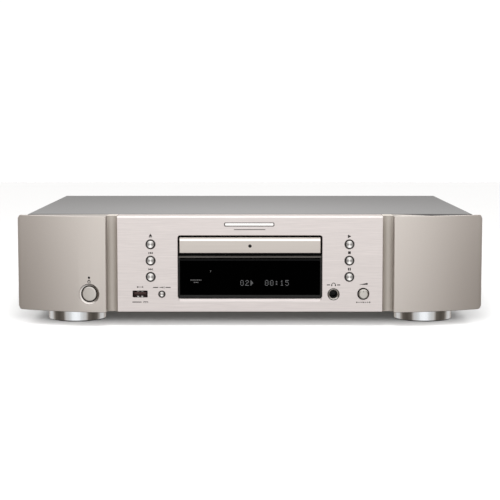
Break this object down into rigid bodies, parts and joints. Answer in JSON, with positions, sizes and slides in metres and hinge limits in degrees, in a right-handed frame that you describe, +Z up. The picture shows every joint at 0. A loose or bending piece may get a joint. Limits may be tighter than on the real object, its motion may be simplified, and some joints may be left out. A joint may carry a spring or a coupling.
{
  "type": "cd player",
  "caption": "Full-width hi-fi disc player with a motor drawer, display window, side wings, round feet, and its loader, pickup, boards and sockets inside.",
  "frame": {"origin": "on the floor, at the middle of the player's bounding box", "axes": "+X to the right as seen from the front, +Y to the back, +Z up"},
  "size_m": [0.44, 0.335, 0.1035],
  "materials": {
    "fascia": "fine horizontal brushing, satin anodised",
    "wing": "smooth satin anodised",
    "moulding": "silver painted, satin",
    "cover": "fine textured grey paint",
    "chassis": "zinc-plated sheet, bare",
    "rear": "fine textured dark paint",
    "foot": "polished metal",
    "pad": "matt",
    "window": "smoked, polished",
    "button": "spun satin cap",
    "power_ring": "polished ring",
    "led": "dark tinted lens",
    "black_plastic": "fine moulded grain",
    "grey_plastic": "fine moulded grain",
    "white_plastic": "natural acetal",
    "plated": "nickel-plated",
    "steel": "ground steel",
    "board": "solder mask",
    "tube": "clear glass over dark grids",
    "iron": "varnished laminations",
    "copper": "enamelled winding under tape",
    "gold": "gold-plated",
    "belt": "matt",
    "lens": "coated lens in its holder"
  },
  "bodies": {
    "case": {"front_panel": "fascia", "front_frame": "moulding", "side_wing_left": "wing", "side_wing_right": "wing", "display_window": "window", "power_button_bezel": "power_ring", "standby_led": "led", "usb_socket": "plated", "phones_jack": "plated", "control_board": "board", "display_tube": "tube", "top_cover": "cover", "bottom_chassis": "chassis", "rear_panel": "rear", "mains_inlet": "black_plastic", "line_out_jacks": "gold", "coax_out_jack": "gold", "remote_jacks": "black_plastic", "optical_out_socket": "black_plastic", "foot_front_left": "foot", "foot_front_right": "foot", "foot_rear_left": "foot", "foot_rear_right": "foot", "foot_pad_front_left": "pad", "foot_pad_front_right": "pad", "foot_pad_rear_left": "pad", "foot_pad_rear_right": "pad", "power_board": "board", "main_board": "board", "transformer_core": "iron", "transformer_coil": "copper", "drive_belt": "belt", "loading_motor": "steel", "loader_frame": "black_plastic", "clamp_bridge": "chassis"},
    "tray": {"disc_tray": "black_plastic", "tray_bezel": "fascia"},
    "loading_gear": {"loading_gear": "white_plastic"},
    "pulley_gear": {"pulley_gear": "white_plastic"},
    "motor_pulley": {"motor_pulley": "white_plastic"},
    "cam": {"cam_slider": "grey_plastic"},
    "traverse": {"traverse": "grey_plastic", "spindle_motor": "steel", "guide_rod_left": "steel", "guide_rod_right": "steel", "sled_motor": "steel"},
    "spindle": {"turntable": "black_plastic"},
    "lead_screw": {"lead_screw": "steel"},
    "sled": {"pickup_sled": "grey_plastic", "pickup_lens": "lens"},
    "clamp": {"clamp_puck": "black_plastic"},
    "power_button": {"power_button": "button"},
    "level_knob": {"level_knob": "button"},
    "eject_button": {"eject_button": "button"},
    "skip_back_button": {"skip_back_button": "button"},
    "skip_forward_button": {"skip_forward_button": "button"},
    "play_button": {"play_button": "button"},
    "stop_button": {"stop_button": "button"},
    "pause_button": {"pause_button": "button"},
    "source_button": {"source_button": "button"}
  },
  "joints": [
    {"name": "tray_slide", "type": "slide", "parent": "case", "child": "tray", "axis": [0, -1, 0], "range_m": [0, 0.138]},
    {"name": "traverse_tilt", "type": "hinge", "parent": "case", "child": "traverse", "pos_m": [0, 0.035, 0.062], "axis": [1, 0, 0], "range_deg": [0, 5.6]},
    {"name": "loading_gear_turn", "type": "hinge", "parent": "case", "child": "loading_gear", "pos_m": [0.042, -0.125, 0.068], "axis": [0, 0, -1], "range_deg": [0, 660]},
    {"name": "pulley_gear_turn", "type": "hinge", "parent": "case", "child": "pulley_gear", "pos_m": [0.024, -0.125, 0.064], "axis": [0, 0, 1], "range_deg": [0, 1320]},
    {"name": "motor_pulley_turn", "type": "hinge", "parent": "case", "child": "motor_pulley", "pos_m": [-0.02, -0.125, 0.0617], "axis": [0, 0, 1], "range_deg": [0, 5275]},
    {"name": "cam_slide", "type": "slide", "parent": "case", "child": "cam", "axis": [1, 0, 0], "range_m": [0, 0.0139]},
    {"name": "spindle_spin", "type": "hinge", "parent": "traverse", "child": "spindle", "pos_m": [0, -0.085, 0.072], "axis": [0, 0, 1], "continuous": true},
    {"name": "clamp_spin", "type": "hinge", "parent": "case", "child": "clamp", "pos_m": [0, -0.085, 0.085], "axis": [0, 0, 1], "continuous": true},
    {"name": "sled_slide", "type": "slide", "parent": "traverse", "child": "sled", "axis": [0, 1, 0], "range_m": [0, 0.033]},
    {"name": "lead_screw_turn", "type": "hinge", "parent": "traverse", "child": "lead_screw", "pos_m": [0.0315, -0.03, 0.0655], "axis": [0, 1, 0], "range_deg": [0, 3961]},
    {"name": "power_press", "type": "slide", "parent": "case", "child": "power_button", "axis": [0.1646, 0.9864, 0], "range_m": [0, 0.0018], "stiffness_N_per_m": 400},
    {"name": "eject_press", "type": "slide", "parent": "case", "child": "eject_button", "axis": [0, 1, 0], "range_m": [0, 0.0012], "stiffness_N_per_m": 300},
    {"name": "skip_back_press", "type": "slide", "parent": "case", "child": "skip_back_button", "axis": [0, 1, 0], "range_m": [0, 0.0012], "stiffness_N_per_m": 300},
    {"name": "skip_forward_press", "type": "slide", "parent": "case", "child": "skip_forward_button", "axis": [0, 1, 0], "range_m": [0, 0.0012], "stiffness_N_per_m": 300},
    {"name": "play_press", "type": "slide", "parent": "case", "child": "play_button", "axis": [0, 1, 0], "range_m": [0, 0.0012], "stiffness_N_per_m": 300},
    {"name": "stop_press", "type": "slide", "parent": "case", "child": "stop_button", "axis": [0, 1, 0], "range_m": [0, 0.0012], "stiffness_N_per_m": 300},
    {"name": "pause_press", "type": "slide", "parent": "case", "child": "pause_button", "axis": [0, 1, 0], "range_m": [0, 0.0012], "stiffness_N_per_m": 300},
    {"name": "source_press", "type": "slide", "parent": "case", "child": "source_button", "axis": [0, 1, 0], "range_m": [0, 0.0012], "stiffness_N_per_m": 300},
    {"name": "level_turn", "type": "hinge", "parent": "case", "child": "level_knob", "pos_m": [0.1062, -0.16, 0.0301], "axis": [0, 1, 0], "range_deg": [-150, 150]}
  ],
  "couplings": [
    {"joint": "traverse_tilt", "follows": "tray_slide", "rad_per_m": 0.695},
    {"joint": "loading_gear_turn", "follows": "tray_slide", "rad_per_m": 83.333},
    {"joint": "pulley_gear_turn", "follows": "tray_slide", "rad_per_m": 166.67},
    {"joint": "motor_pulley_turn", "follows": "tray_slide", "rad_per_m": 666.67},
    {"joint": "cam_slide", "follows": "tray_slide", "ratio": 0.1},
    {"joint": "clamp_spin", "follows": "spindle_spin", "ratio": 1},
    {"joint": "lead_screw_turn", "follows": "sled_slide", "rad_per_m": 2094.4}
  ]
}
